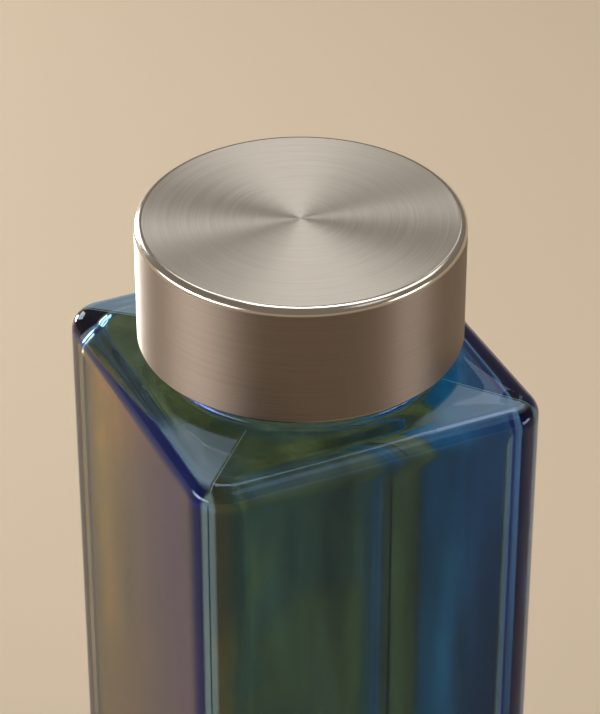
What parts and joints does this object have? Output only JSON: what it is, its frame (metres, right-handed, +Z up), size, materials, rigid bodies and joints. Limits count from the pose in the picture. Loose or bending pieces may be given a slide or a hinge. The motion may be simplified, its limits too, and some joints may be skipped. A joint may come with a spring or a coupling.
{
  "type": "square glass bottle with screw cap",
  "caption": "Square-section thick-walled glass bottle with a round neck, closed by a brushed steel screw cap with a threaded liner and a soft seal ring.",
  "frame": {"origin": "middle of the base, on the surface that the bottle stands on", "axes": "+Z up along the axis of the neck and cap; the four walls face +X, -X, +Y and -Y"},
  "size_m": [0.0684, 0.0684, 0.1903],
  "materials": {
    "bottle_glass": "smooth moulded glass tinted a smoky blue green",
    "cap_steel": "stainless steel, brushed in circles on top and around the side",
    "insert_plastic": "moulded black polypropylene",
    "seal_silicone": "milky silicone rubber"
  },
  "bodies": {
    "bottle": {"glass_bottle": "bottle_glass"},
    "seal": {"seal_ring": "seal_silicone"},
    "cap": {"cap_shell": "cap_steel", "cap_insert": "insert_plastic"}
  },
  "joints": [
    {"name": "cap_lift", "type": "slide", "parent": "bottle", "child": "seal", "axis": [0, 0, 1], "range_m": [0, 0.0226]},
    {"name": "cap_turn", "type": "hinge", "parent": "seal", "child": "cap", "pos_m": [0, 0, 0.178], "axis": [0, 0, 1], "range_deg": [0, 1620]}
  ],
  "couplings": [
    {"joint": "cap_lift", "follows": "cap_turn", "m_per_rad": 0.00079577}
  ]
}
